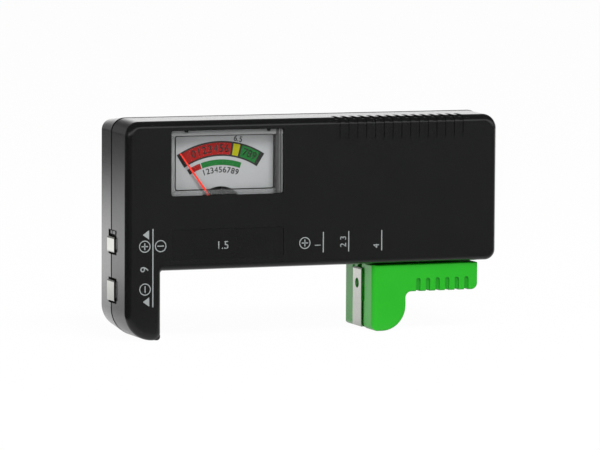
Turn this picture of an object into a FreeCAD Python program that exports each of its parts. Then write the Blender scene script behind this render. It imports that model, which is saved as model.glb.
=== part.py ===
import FreeCAD, Part
import math
import os

from FreeCAD import Vector

# Hand-held battery tester, millimetres. It stands on its leg and its slider:
# X runs to the right seen from the front, the front faces -Y, Z is up from the feet.

# Housing: two half shells that meet at y = 0
case_w = 110.0
case_top = 60.5
case_d = 25.0
wall = 2.0
body_bottom = 19.1
leg_w = 10.25
corner_r = 4.0
low_corner_r = 3.0
heel_r = 8.0
toe_r = 0.9
toe_ease_r = 2.2
toe_setback = 1.5
crotch_r = 0.6
least_r = 0.2
sole_flat = 0.02
front_edge_r = 1.8
top_fall = 0.3
rear_edge_r = 0.8
rear_draft = 1.1
seam_gap = 0.5
seam_depth = 0.9
seam_step = 0.15
fit = 0.1

# Grip grooves over the top front edge
grip_count = 15
grip_pitch = 2.645
grip_first_x = 61.9
grip_w = 1.3
grip_depth = 0.28
grip_top_depth = 0.45
grip_run_back = 4.2
grip_run_down = 5.8

# Window and the shallow panel under it, measured from the left side and the top
window_left = 12.93
window_w = 32.95
window_h = 17.96
window_drop = 2.87
window_r = 0.6
clip_inset = 4.45
clip_w = 0.95
clip_h = 0.6
clip_t = 0.3
panel_left = 13.13
panel_w = 32.73
panel_h = 8.35
panel_lift = 2.93
panel_depth = 0.2

# Case screws, driven from behind
screw_r = 1.4
screw_head_r = 2.5
screw_head_h = 1.8
screw_grip = 8.0
screw_bite = 7.0
boss_r = 3.0
rear_boss_r = 3.6
screw_edge_x = 5.5
screw_edge_top = 5.9
screw_edge_low = 8.9
leg_screw_x = 5.2
leg_screw_z = 6.6

# Sprung contacts
contact_t = 0.5
contact_w = 5.9
contact_y = -0.35
contact_heights = (4.3, 5.8)
contact_reach = 3.5
contact_leg_w = 3.6
contact_bend_r = 0.45
notch_w = 7.3
notch_margin = 0.6
notch_d = 1.2
tab_room = 1.3
tab_w = 4.0
tab_h = 0.9
tab_set = 0.2
snap_pitch = 12.7
snap_low_z = 13.05
cell_contact_w = 6.3
leg_contact_z = 2.6
leg_contact_h = 14.4
leg_contact_reach = 2.7

# Slider under the housing, at rest where a D cell fits
slider_inset = 5.0
closed_gap = 1.0
travel_out = 3.0
slider_l = 31.75
slider_d = 21.6
slider_gap = 0.6
slider_edge_r = 0.45
arm_z = 10.8
foot_w = 3.0
foot_r = 7.0
lug_fillet = 1.7
arm_end_r = 1.8
slider_corner_r = 1.6
slider_top_r = 0.3
slider_end_r = 1.5
channel_w = 9.2
channel_d = 0.35
deep_slot_d = 2.0
deep_slot_w = 7.8
deep_slot_top = 8.0
slider_grip_count = 6
slider_grip_pitch = 2.924
slider_grip_x = 13.7
slider_grip_w = 1.3
slider_grip_depth = 0.36
slider_grip_back = 4.4
slider_grip_up = 3.1
top_notch_x = 14.6
top_notch_w = 1.4
top_notch_d = 2.4
top_notch_h = 0.8
top_notch_edge = 0.6
plate_z = 0.45
plate_drop = 1.45
plate_hole_r = 1.4
plate_hole_z = 12.63

# Slider guide inside the housing
neck_start = 5.0
neck_l = 23.0
neck_t = 3.0
slot_gap = 0.3
slot_end_gap = 0.5
runner_lift = 0.25
runner_t = 1.4
runner_w = 9.0
tail_t = 0.3
tail_clamp = 5.0
wiper_t = 0.3
wiper_start = 1.0
wiper_w = 4.0
wiper_tip = 1.0
wiper_play = 0.05
slider_screw_r = 0.8
slider_screw_head_r = 1.5
slider_screw_head_h = 0.8
slider_screw_inset = 3.0
slider_screw_bite = 4.0
rail_y = 5.0
rail_w = 3.0
rail_t = 0.4
rail_over = 1.5

# Moving-coil meter
meter_clear = 0.45
base_low_wall = 0.9
base_side_wall = 1.2
base_top_wall = 0.7
base_floor_t = 1.2
base_top_gap = 0.1
yoke_r = 8.4
yoke_bore = 6.3
yoke_l = 6.2
yoke_clear = 0.45
core_r = 4.2
core_l = 4.2
bracket_t = 0.8
bracket_w = 3.0
coil_inner = 4.6
coil_wall = 1.1
coil_bar = 0.8
coil_w = 2.0
coil_gap = 0.4
staff_r = 0.4
rear_staff = 0.7
pivot_play = 0.05
spring_r = 2.6
spring_turns = 3
spring_t = 0.12
spring_h = 0.3
spring_gap = 0.2
hub_r = 1.5
hub_t = 0.5
pivot_offset = -1.13
dial_setback = 1.0
dial_t = 0.5
dial_low = 2.05
dial_side_gap = 0.2
hub_cutout_r = 7.43
dial_screw_in = 5.6
dial_screw_up = 1.6
pointer_gap = 0.6
pointer_t = 0.2
pointer_l = 20.6
pointer_w = 0.6
pointer_tip_w = 0.35
pointer_crank = 6.0
pointer_crank_l = 0.6
pointer_tail = 4.0
pointer_rest_deg = -35.6
bridge_t = 0.6
bridge_half = 11.9
bridge_w = 3.8
bridge_post_x = 10.4
bridge_post_r = 1.3
bridge_setback = 0.1
jewel_r = 1.1
jewel_stand = 0.3
jewel_front = 0.7
jewel_rear = 0.6
small_screw_r = 0.6
small_screw_head_r = 1.1
small_screw_head_h = 0.5
small_screw_bite = 4.0
dial_post_r = 1.5
lens_recess = 0.6
lens_t = 1.0
lens_skirt = 1.75
lens_top_skirt = 1.5
lens_flange = 1.1
lens_gap = 0.15
flange_gap = 0.23
ear_l = 4.8
ear_h = 4.8
ear_t = 1.4
ear_setback = 4.5
ear_drop = 14.5
ear_boss_r = 2.0
ear_screw_r = 1.0
ear_screw_head_r = 1.8
ear_screw_head_h = 1.0
ear_screw_bite = 3.5

# Circuit board behind the meter
terminal_l = 4.0
terminal_r = 0.8
terminal_x = 7.2
terminal_drop = 6.3
board_w = 27.0
board_h = 21.0
board_left = 13.3
board_drop = 7.3
board_t = 1.2
board_boss_r = 2.2
board_screw_r = 0.9
board_screw_head_r = 1.8
board_screw_head_h = 0.8
board_screw_bite = 2.0
board_screw_edge = 3.0
board_screw_left = 9.0
board_screw_top = 2.6
resistor_r = 1.2
resistor_l = 6.5
resistor_lead_r = 0.3
resistor_lead_l = 1.5
resistor_count = 3
resistor_pitch = 4.0
resistor_x = 16.0
resistor_z = 7.0
lead_r = 0.55

# Places worked out from the sizes above
left = -case_w / 2
right = case_w / 2
front = -case_d / 2
rear = case_d / 2
leg_in = left + leg_w
inner_front = front + wall
inner_rear = rear - wall
floor_z = body_bottom + wall
ceiling = case_top - wall
window_x0 = left + window_left
window_x1 = window_x0 + window_w
window_z1 = case_top - window_drop
window_z0 = window_z1 - window_h
case_screws_at = [
    (left + screw_edge_x, case_top - screw_edge_top),
    (right - screw_edge_x, case_top - screw_edge_top),
    (right - screw_edge_x, body_bottom + screw_edge_low),
    (left + leg_screw_x, leg_screw_z),
]
snap_at = [snap_low_z + snap_pitch, snap_low_z]

slider_x1 = right - slider_inset
slider_x0 = slider_x1 - slider_l
travel_in = slider_x0 - contact_t - (leg_in + contact_t) - closed_gap
slider_top = body_bottom - slider_gap
slider_y = slider_d / 2
neck_x0 = slider_x0 + neck_start
neck_x1 = neck_x0 + neck_l
plate_top = slider_top - plate_drop
slot_x0 = neck_x0 - tail_t - travel_in - slot_end_gap
slot_x1 = neck_x1 + travel_out + slot_end_gap
slot_y = neck_t / 2 + slot_gap
runner_z = floor_z + runner_lift
tail_z = runner_z + runner_t
wiper_z = tail_z + tail_t
clamp_z = wiper_z + wiper_t
slider_screws_x = [neck_x0 + slider_screw_inset, neck_x1 - slider_screw_inset]

base_z0 = clamp_z + slider_screw_head_h + meter_clear
base_z1 = ceiling - base_top_gap
base_x0 = window_x0 - lens_flange - flange_gap - base_side_wall
base_x1 = window_x1 + lens_flange + flange_gap + base_side_wall
pivot_x = (window_x0 + window_x1) / 2 + pivot_offset
pivot_z = base_z0 + base_low_wall + yoke_clear + yoke_r
dial_y = inner_front + dial_setback
dial_back = dial_y + dial_t
dial_z0 = pivot_z + dial_low
bridge_y = dial_y + bridge_setback
bridge_back = bridge_y + bridge_t
jewel_face = bridge_back + jewel_stand
staff_tip = jewel_face + pivot_play
hub_y = staff_tip + pivot_play
spring_y = hub_y + hub_t + spring_gap
coil_y0 = spring_y + spring_h + spring_gap
bracket_y = coil_y0 + coil_bar + coil_gap
yoke_y = bracket_y + bracket_t
base_floor = yoke_y + yoke_l
base_back = base_floor + base_floor_t
core_back = yoke_y + core_l
coil_y1 = core_back + coil_gap + coil_bar
rear_jewel = coil_y1 + rear_staff + pivot_play
dial_screws_at = [
    (base_x0 + dial_screw_in, dial_z0 + dial_screw_up),
    (base_x1 - dial_screw_in, dial_z0 + dial_screw_up),
]
bridge_screws_at = [(pivot_x - bridge_post_x, pivot_z), (pivot_x + bridge_post_x, pivot_z)]
ear_z = case_top - ear_drop
ears_at = [(base_x0 - ear_l / 2, ear_z), (base_x1 + ear_l / 2, ear_z)]
ear_y = inner_front + ear_setback
terminals_at = [
    (pivot_x - terminal_x, pivot_z - terminal_drop),
    (pivot_x + terminal_x, pivot_z - terminal_drop),
]
board_x0 = pivot_x - board_left
board_x1 = board_x0 + board_w
board_z0 = pivot_z - board_drop
board_z1 = board_z0 + board_h
board_y = base_back + terminal_l
board_back = board_y + board_t
board_screws_at = [
    (board_x1 - board_screw_edge, board_z0 + board_screw_edge),
    (board_x0 + board_screw_left, board_z1 - board_screw_top),
]


def block(x0, x1, y0, y1, z0, z1):
    return Part.makeBox(x1 - x0, y1 - y0, z1 - z0, Vector(x0, y0, z0))


def rod(radius, x, z, y0, y1):
    return Part.makeCylinder(radius, y1 - y0, Vector(x, y0, z), Vector(0, 1, 0))


def post(radius, x, y, z0, z1):
    return Part.makeCylinder(radius, z1 - z0, Vector(x, y, z0), Vector(0, 0, 1))


def rounded_wire(corners, y):
    """Closed outline in the XZ plane at y, through (x, z, radius) corners."""
    edges = []
    ends = []
    count = len(corners)
    for i in range(count):
        x, z, radius = corners[i]
        here = Vector(x, y, z)
        before = Vector(corners[i - 1][0], y, corners[i - 1][1]) - here
        after = Vector(corners[(i + 1) % count][0], y, corners[(i + 1) % count][1]) - here
        before.normalize()
        after.normalize()
        half = before.getAngle(after) / 2
        reach = radius / math.tan(half)
        start = here + before * reach
        stop = here + after * reach
        inward = before + after
        inward.normalize()
        middle = here + inward * (radius / math.sin(half) - radius)
        ends.append((start, middle, stop))
    for i in range(count):
        start, middle, stop = ends[i]
        edges.append(Part.Arc(start, middle, stop).toShape())
        edges.append(Part.LineSegment(stop, ends[(i + 1) % count][0]).toShape())
    return Part.Wire(edges)


def prism(wire, depth):
    return Part.Face(wire).extrude(Vector(0, depth, 0))


def rounded_block(x0, x1, z0, z1, radius, y0, y1):
    corners = [(x0, z0, radius), (x1, z0, radius), (x1, z1, radius), (x0, z1, radius)]
    return prism(rounded_wire(corners, y0), y1 - y0)


def edges_at_y(shape, y):
    """Edges of a shape that lie wholly in the plane at y."""
    found = []
    for edge in shape.Edges:
        box = edge.BoundBox
        if abs(box.YMin - y) < 1e-4 and abs(box.YMax - y) < 1e-4:
            found.append(edge)
    return found


def case_wire(inset, y, toe=toe_ease_r, step=0.0, fall=0.0):
    """The housing's outline, moved inwards by inset; step moves the sides and top out, fall the top down."""
    outer = corner_r - inset
    toe = max(toe - inset, least_r)
    heel = min(heel_r - inset, leg_w - 2 * inset - toe - sole_flat)
    corners = [
        (left + inset - step, inset, heel),
        (leg_in - inset, inset, toe),
        (leg_in - inset, body_bottom + inset, crotch_r + inset),
        (right - inset + step, body_bottom + inset, low_corner_r - inset),
        (right - inset + step, case_top - inset + step - fall, outer),
        (left + inset - step, case_top - inset + step - fall, outer),
    ]
    return rounded_wire(corners, y)


def edge_groove(x, width, depth, end_depth, edge_r, at_y, at_z, side_y, side_z, run_y, run_z):
    """Cutter for a groove that wraps an edge running along X, depth into the face that looks along Y and
    end_depth into the one that looks along Z, with a round end on each."""
    bend = max(edge_r - max(depth, end_depth), 0.05)
    margin = 1.0

    def point(a, b):
        return Vector(x - width / 2, at_y - side_y * a, at_z - side_z * b)

    near_y = depth + bend
    near_z = end_depth + bend
    short = bend * math.sqrt(0.5)
    edges = [
        Part.LineSegment(point(-margin, -margin), point(run_y, -margin)),
        Part.LineSegment(point(run_y, -margin), point(run_y, end_depth)),
        Part.LineSegment(point(run_y, end_depth), point(near_y, end_depth)),
        Part.Arc(point(near_y, end_depth), point(near_y - short, near_z - short), point(depth, near_z)),
        Part.LineSegment(point(depth, near_z), point(depth, run_z)),
        Part.LineSegment(point(depth, run_z), point(-margin, run_z)),
        Part.LineSegment(point(-margin, run_z), point(-margin, -margin)),
    ]
    face = Part.Face(Part.Wire([edge.toShape() for edge in edges]))
    groove = face.extrude(Vector(width, 0, 0))
    y_ends = sorted([at_y + side_y * margin, at_y - side_y * depth])
    z_ends = sorted([at_z + side_z * margin, at_z - side_z * end_depth])
    face_end = rod(width / 2, x, at_z - side_z * run_z, y_ends[0], y_ends[1])
    far_end = post(width / 2, x, at_y - side_y * run_y, z_ends[0], z_ends[1])
    return groove.fuse([face_end, far_end])


def contact_cuts():
    """Notches for the sprung side contacts and slots for the legs of all fixed contacts."""
    cuts = []
    leg_y = contact_leg_w / 2 + fit
    for z, height, room in zip(snap_at, contact_heights, (tab_room, 0)):
        top = z + height / 2 + notch_margin + room
        notch = block(left - wall, left + notch_d, contact_y - notch_w / 2, contact_y + notch_w / 2,
                      z - height / 2 - notch_margin, top)
        if room:
            notch = notch.cut(block(left + tab_set, left + notch_d,
                                    contact_y - tab_w / 2, contact_y + tab_w / 2,
                                    top - notch_margin / 2 - tab_h, top - notch_margin / 2))
        cuts.append(notch)
        for low in (z - height / 2, z + height / 2 - contact_t):
            cuts.append(block(left, left + wall + fit, contact_y - leg_y, contact_y + leg_y,
                              low - fit, low + contact_t + fit))
    for low in (leg_contact_z, leg_contact_z + leg_contact_h - contact_t):
        cuts.append(block(leg_in - wall - fit, leg_in + fit, -leg_y, leg_y,
                          low - fit, low + contact_t + fit))
    cuts.append(block(slot_x0, slot_x1, -slot_y, slot_y, body_bottom - wall, floor_z + fit))
    return cuts


def front_cover():
    outer = Part.makeLoft([case_wire(0, front, fall=top_fall), case_wire(0, 0)], True, True)
    outer = outer.makeFillet(front_edge_r, edges_at_y(outer, front))
    outer = outer.fuse(rounded_block(leg_in - toe_ease_r, leg_in, 0, toe_ease_r, toe_r,
                                     front + toe_setback, 0))
    shell = outer.cut(prism(case_wire(wall, inner_front), -inner_front))
    bosses = [rod(boss_r, x, z, inner_front - wall / 2, 0) for x, z in case_screws_at]
    bosses += [rod(ear_boss_r, x, z, inner_front - wall / 2, ear_y) for x, z in ears_at]
    for boss in bosses:
        shell = shell.fuse(boss.common(outer))
    cuts = contact_cuts()
    for x, z in case_screws_at:
        cuts.append(rod(screw_r + fit / 2, x, z, -screw_bite - fit, fit))
    for x, z in ears_at:
        cuts.append(rod(ear_screw_r + fit / 2, x, z, ear_y - ear_screw_bite - fit, ear_y + fit))
    cuts.append(rounded_block(window_x0, window_x1, window_z0, window_z1, window_r,
                              front - wall, inner_front + fit))
    panel_x0 = left + panel_left
    panel_z0 = body_bottom + panel_lift
    cuts.append(rounded_block(panel_x0, panel_x0 + panel_w, panel_z0, panel_z0 + panel_h, window_r,
                              front - wall, front + panel_depth))
    for i in range(grip_count):
        x = left + grip_first_x + i * grip_pitch
        cuts.append(edge_groove(x, grip_w, grip_depth, grip_top_depth, front_edge_r, front, case_top - top_fall,
                                -1, 1, grip_run_back, grip_run_down))
    shell = shell.cut(cuts)
    clip_y1 = front + lens_recess - fit / 2
    for x in (window_x0 + clip_inset, window_x1 - clip_inset):
        clip = block(x - clip_w / 2, x + clip_w / 2, clip_y1 - clip_t, clip_y1,
                     window_z1 - clip_h, window_z1 + wall / 2)
        shell = shell.fuse(clip)
    return shell.removeSplitter()


def rear_cover():
    outer = Part.makeLoft([case_wire(0, 0, toe_r, seam_step), case_wire(rear_draft, rear)], True, True)
    outer = outer.makeFillet(rear_edge_r, edges_at_y(outer, rear))
    shell = outer.cut(prism(case_wire(wall, 0), inner_rear))
    bosses = [rod(rear_boss_r, x, z, 0, inner_rear + wall / 2) for x, z in case_screws_at]
    bosses += [rod(board_boss_r, x, z, board_back, inner_rear + wall / 2) for x, z in board_screws_at]
    for boss in bosses:
        shell = shell.fuse(boss.common(outer))
    cuts = contact_cuts()
    for x, z in case_screws_at:
        cuts.append(rod(screw_r + fit, x, z, -fit, rear + wall))
        cuts.append(rod(screw_head_r + fit, x, z, screw_grip, rear + wall))
    for x, z in board_screws_at:
        cuts.append(rod(board_screw_r + fit / 2, x, z, board_back - fit,
                        board_back + board_screw_bite + fit))
    seam = prism(case_wire(-wall, 0), seam_gap).cut(prism(case_wire(seam_depth, 0), seam_gap))
    cuts.append(seam)
    return shell.cut(cuts).removeSplitter()


def case_screws():
    screws = []
    for x, z in case_screws_at:
        head = rod(screw_head_r, x, z, screw_grip, screw_grip + screw_head_h)
        screws.append(head.fuse(rod(screw_r, x, z, -screw_bite, screw_grip)))
    return Part.makeCompound(screws)


def bend_edges(shape, x):
    """Round the edges along Y in the plane at x, where strip metal is folded."""
    found = []
    for edge in shape.Edges:
        box = edge.BoundBox
        along_y = box.XLength < 1e-4 and box.ZLength < 1e-4
        if along_y and abs(box.XMin - x) < 1e-4:
            found.append(edge)
    return shape.makeFillet(contact_bend_r, found)


def side_contact(z, height):
    """Plate standing proud of the left side, with two legs through the wall."""
    x = left
    low = z - height / 2
    high = z + height / 2
    plate = block(x - contact_t, x, contact_y - contact_w / 2, contact_y + contact_w / 2, low, high)
    leg_y = contact_leg_w / 2
    for start in (low, high - contact_t):
        plate = plate.fuse(block(x, x + contact_reach, contact_y - leg_y, contact_y + leg_y,
                                 start, start + contact_t))
    return bend_edges(plate.removeSplitter(), x - contact_t)


def negative_contact_1v5():
    """Plate on the inner face of the leg, facing the slider across the battery bay."""
    low = leg_contact_z
    high = leg_contact_z + leg_contact_h
    plate = block(leg_in, leg_in + contact_t, -cell_contact_w / 2, cell_contact_w / 2, low, high)
    leg_y = contact_leg_w / 2
    for start in (low, high - contact_t):
        plate = plate.fuse(block(leg_in - leg_contact_reach, leg_in, -leg_y, leg_y,
                                 start, start + contact_t))
    return bend_edges(plate.removeSplitter(), leg_in + contact_t)


def upright_corner(x, y, side, radius, top):
    """Cutter that rounds the upright edge at x, y where a left end meets the face on that side."""
    margin = 1.0
    y_ends = sorted([y + side * margin, y - side * radius])
    square = block(x - margin, x + radius, y_ends[0], y_ends[1], -margin, top + margin)
    return square.cut(post(radius, x + radius, y - side * radius, -2 * margin, top + 2 * margin))


def slider_body():
    lug_x = slider_x0 + foot_w + foot_r
    corners = [
        (slider_x0, 0, slider_corner_r),
        (lug_x, 0, foot_r),
        (lug_x, arm_z, lug_fillet),
        (slider_x1, arm_z, arm_end_r),
        (slider_x1, slider_top, slider_top_r),
        (slider_x0, slider_top, slider_top_r),
    ]
    body = prism(rounded_wire(corners, -slider_y), slider_d)
    body = body.makeFillet(slider_edge_r, edges_at_y(body, -slider_y) + edges_at_y(body, slider_y))
    for side in (-1, 1):
        body = body.cut(upright_corner(slider_x0, side * slider_y, side, slider_end_r, slider_top))
    body = body.fuse(block(neck_x0, neck_x1, -neck_t / 2, neck_t / 2, slider_top - wall, runner_z))
    leg_y = contact_leg_w / 2 + fit
    tail_y = neck_t / 2 + fit
    notch_y = -slider_y + top_notch_edge
    cuts = [
        block(slider_x0 - wall, slider_x0 + channel_d, -channel_w / 2, channel_w / 2,
              deep_slot_top, slider_top + wall),
        block(slider_x0 - wall, slider_x0 + deep_slot_d, -deep_slot_w / 2, deep_slot_w / 2,
              -wall, deep_slot_top),
        block(slider_x0, slider_x0 + contact_reach + fit, -leg_y, leg_y,
              plate_z - fit, plate_z + contact_t + fit),
        block(slider_x0, neck_x0, -tail_y, tail_y, plate_top - tail_t - fit, slider_top + wall),
        block(slider_x0 + top_notch_x - top_notch_w / 2, slider_x0 + top_notch_x + top_notch_w / 2,
              notch_y, notch_y + top_notch_d, slider_top - top_notch_h, slider_top + fit),
    ]
    for x in slider_screws_x:
        cuts.append(post(slider_screw_r + fit / 2, x, 0, runner_z - slider_screw_bite - fit,
                         runner_z + fit))
    for side in (-1, 1):
        for i in range(slider_grip_count):
            x = slider_x0 + slider_grip_x + i * slider_grip_pitch
            cuts.append(edge_groove(x, slider_grip_w, slider_grip_depth, slider_grip_depth, slider_edge_r,
                                    side * slider_y, arm_z, side, -1,
                                    slider_grip_back, slider_grip_up))
    return body.cut(cuts).removeSplitter()


def slider_contact():
    """Strip down the slider's left end, with a tail that climbs the neck and is clamped on the runner."""
    half = cell_contact_w / 2
    tail_y = neck_t / 2
    leg_y = contact_leg_w / 2
    plate = block(slider_x0 - contact_t, slider_x0, -half, half, plate_z, plate_top)
    plate = bend_edges(plate, slider_x0 - contact_t)
    strips = [
        block(slider_x0, slider_x0 + contact_reach, -leg_y, leg_y, plate_z, plate_z + contact_t),
        block(slider_x0, neck_x0, -tail_y, tail_y, plate_top - tail_t, plate_top),
        block(neck_x0 - tail_t, neck_x0, -tail_y, tail_y, plate_top - tail_t, wiper_z),
        block(neck_x0 - tail_t, neck_x0 + tail_clamp, -tail_y, tail_y, tail_z, wiper_z),
    ]
    for strip in strips:
        plate = plate.fuse(strip)
    hole_axis = Vector(1, 0, 0)
    hole_at = Vector(slider_x0 - wall, 0, plate_hole_z)
    hole = Part.makeCylinder(plate_hole_r, wall, hole_at, hole_axis)
    screw_hole = post(slider_screw_r + fit / 2, slider_screws_x[0], 0, tail_z - fit, wiper_z + fit)
    return plate.cut([hole, screw_hole]).removeSplitter()


def slider_runner():
    plate = block(neck_x0, neck_x1, -runner_w / 2, runner_w / 2, runner_z, tail_z)
    holes = [post(slider_screw_r + fit / 2, x, 0, runner_z - fit, tail_z + fit) for x in slider_screws_x]
    return plate.cut(holes)


def slider_screws():
    """One screw clamps the wiper and the tail, the other bears on the runner itself."""
    screws = []
    for x, seat in zip(slider_screws_x, (clamp_z, tail_z)):
        head = post(slider_screw_head_r, x, 0, seat, seat + slider_screw_head_h)
        screws.append(head.fuse(post(slider_screw_r, x, 0, runner_z - slider_screw_bite, seat)))
    return Part.makeCompound(screws)


def wiper_spring():
    x0 = neck_x0 + wiper_start
    x1 = x0 + wiper_w
    tip_y = rail_y + rail_w / 2
    leaf = block(x0, x1, -neck_t / 2, tip_y + wiper_tip, wiper_z, clamp_z)
    finger = block(x0, x1, tip_y, tip_y + wiper_tip, floor_z + rail_t + wiper_play, clamp_z)
    hole = post(slider_screw_r + fit / 2, slider_screws_x[0], 0, wiper_z - fit, clamp_z + fit)
    return leaf.fuse(finger).cut(hole).removeSplitter()


def contact_rail():
    return block(slot_x0 - rail_over, slot_x1 - rail_over, rail_y, rail_y + rail_w,
                 floor_z, floor_z + rail_t)


def meter_window():
    """Clear cap: a plate in the opening, skirts back to the dial and flanges behind the wall."""
    x0 = window_x0 + lens_gap
    x1 = window_x1 - lens_gap
    z0 = window_z0 + lens_gap
    z1 = window_z1 - lens_gap
    face = front + lens_recess
    cap = rounded_block(x0, x1, z0, z1, window_r, face, face + lens_t)
    skirts = [
        block(x0, x0 + lens_skirt, face + lens_t / 2, dial_y, z0 + window_r, z1 - window_r),
        block(x1 - lens_skirt, x1, face + lens_t / 2, dial_y, z0 + window_r, z1 - window_r),
        block(x0 + window_r, x1 - window_r, face + lens_t / 2, dial_y, z1 - lens_top_skirt, z1),
        block(window_x0 - lens_flange, x0 + lens_skirt, inner_front, dial_y, z0 + window_r, z1 - window_r),
        block(x1 - lens_skirt, window_x1 + lens_flange, inner_front, dial_y, z0 + window_r, z1 - window_r),
    ]
    return cap.fuse(skirts).removeSplitter()


def meter_base():
    """Open tray with posts for the dial and the bridge, and an ear at each side."""
    tray = block(base_x0, base_x1, inner_front, base_back, base_z0, base_z1)
    tray = tray.cut(block(base_x0 + base_side_wall, base_x1 - base_side_wall, inner_front - wall,
                          base_floor, base_z0 + base_low_wall, base_z1 - base_top_wall))
    adds = [rod(dial_post_r, x, z, dial_back, base_floor) for x, z in dial_screws_at]
    adds += [rod(bridge_post_r, x, z, bridge_back, base_floor) for x, z in bridge_screws_at]
    for x, z in ears_at:
        adds.append(block(x - ear_l / 2, x + ear_l / 2, ear_y, ear_y + ear_t, z - ear_h / 2, z + ear_h / 2))
    cuts = [rod(small_screw_r + fit / 2, x, z, dial_back - fit, dial_back + small_screw_bite + fit)
            for x, z in dial_screws_at]
    cuts += [rod(small_screw_r + fit / 2, x, z, bridge_back - fit, bridge_back + small_screw_bite + fit)
             for x, z in bridge_screws_at]
    cuts += [rod(ear_screw_r + fit, x, z, ear_y - fit, ear_y + ear_t + fit) for x, z in ears_at]
    cuts += [rod(terminal_r + fit / 2, x, z, base_floor - fit, base_back + fit) for x, z in terminals_at]
    cuts.append(rod(jewel_r + fit / 2, pivot_x, pivot_z, base_floor - fit, base_back + fit))
    return tray.fuse(adds).cut(cuts).removeSplitter()


def headed_screws(places, shank_r, head_r, head_h, seat, bite, clamped):
    """Screws along Y, heads towards the front, through what they clamp and into their posts."""
    screws = []
    for x, z in places:
        head = rod(head_r, x, z, seat - head_h, seat)
        screws.append(head.fuse(rod(shank_r, x, z, seat, seat + clamped + bite)))
    return Part.makeCompound(screws)


def meter_screws():
    """Screws driven from behind through the ears into the front cover."""
    screws = []
    for x, z in ears_at:
        seat = ear_y + ear_t
        head = rod(ear_screw_head_r, x, z, seat, seat + ear_screw_head_h)
        screws.append(head.fuse(rod(ear_screw_r, x, z, ear_y - ear_screw_bite, seat)))
    return Part.makeCompound(screws)


def dial_plate():
    inner0 = base_x0 + base_side_wall + dial_side_gap
    inner1 = base_x1 - base_side_wall - dial_side_gap
    plate = block(inner0, inner1, dial_y, dial_back, dial_z0, base_z1 - base_top_wall - dial_side_gap)
    cuts = [rod(hub_cutout_r, pivot_x, pivot_z, dial_y - fit, dial_back + fit)]
    cuts += [rod(small_screw_r + fit / 2, x, z, dial_y - fit, dial_back + fit) for x, z in dial_screws_at]
    return plate.cut(cuts)


def meter_bridge():
    strip = block(pivot_x - bridge_half, pivot_x + bridge_half, bridge_y, bridge_back,
                  pivot_z - bridge_w / 2, pivot_z + bridge_w / 2)
    cuts = [rod(small_screw_r + fit / 2, x, z, bridge_y - fit, bridge_back + fit)
            for x, z in bridge_screws_at]
    cuts.append(rod(jewel_r + fit / 2, pivot_x, pivot_z, bridge_y - fit, bridge_back + fit))
    return strip.cut(cuts)


def jewel_screws():
    front_jewel = rod(jewel_r, pivot_x, pivot_z, bridge_y - jewel_front, jewel_face)
    rear_screw = rod(jewel_r, pivot_x, pivot_z, rear_jewel, base_back + jewel_rear)
    return Part.makeCompound([front_jewel, rear_screw])


def yoke_ring():
    ring = rod(yoke_r, pivot_x, pivot_z, yoke_y, base_floor)
    return ring.cut(rod(yoke_bore, pivot_x, pivot_z, yoke_y - fit, base_floor + fit))


def magnet_core():
    return rod(core_r, pivot_x, pivot_z, yoke_y, core_back)


def core_bracket():
    """Strip across the front of the ring that carries the core."""
    reach = (yoke_r + yoke_bore) / 2
    return block(pivot_x - bracket_w / 2, pivot_x + bracket_w / 2, bracket_y, yoke_y,
                 pivot_z - reach, pivot_z + reach)


def at_rest_angle(shape):
    """Turn what rides on the pivot from upright to the pointer's zero."""
    turned = shape.copy()
    turned.rotate(Vector(pivot_x, 0, pivot_z), Vector(0, 1, 0), pointer_rest_deg)
    return turned


def moving_coil():
    outer = coil_inner + coil_wall
    frame = block(pivot_x - outer, pivot_x + outer, coil_y0, coil_y1,
                  pivot_z - coil_w / 2, pivot_z + coil_w / 2)
    hollow = block(pivot_x - coil_inner, pivot_x + coil_inner, coil_y0 + coil_bar, coil_y1 - coil_bar,
                   pivot_z - coil_w, pivot_z + coil_w)
    return at_rest_angle(frame.cut(hollow))


def pivot_staffs():
    front_staff = rod(staff_r, pivot_x, pivot_z, staff_tip, coil_y0)
    rear_stub = rod(staff_r, pivot_x, pivot_z, coil_y1, rear_jewel - pivot_play)
    return Part.makeCompound([front_staff, rear_stub])


def spiral_ribbon(y):
    """Flat spiral hairspring, from the staff outwards."""
    steps = 16 * spring_turns
    inner_r = staff_r + fit / 2
    inner = []
    outer = []
    for i in range(steps + 1):
        angle = 2 * math.pi * spring_turns * i / steps
        radius = inner_r + (spring_r - inner_r - spring_t) * i / steps
        direction = Vector(math.cos(angle), 0, math.sin(angle))
        centre = Vector(pivot_x, y, pivot_z)
        inner.append(centre + direction * radius)
        outer.append(centre + direction * (radius + spring_t))
    loop = inner + outer[::-1] + [inner[0]]
    return Part.Face(Part.makePolygon(loop)).extrude(Vector(0, spring_h, 0))


def hairsprings():
    return Part.makeCompound([spiral_ribbon(spring_y), spiral_ribbon(coil_y1 + spring_gap)])


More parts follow.
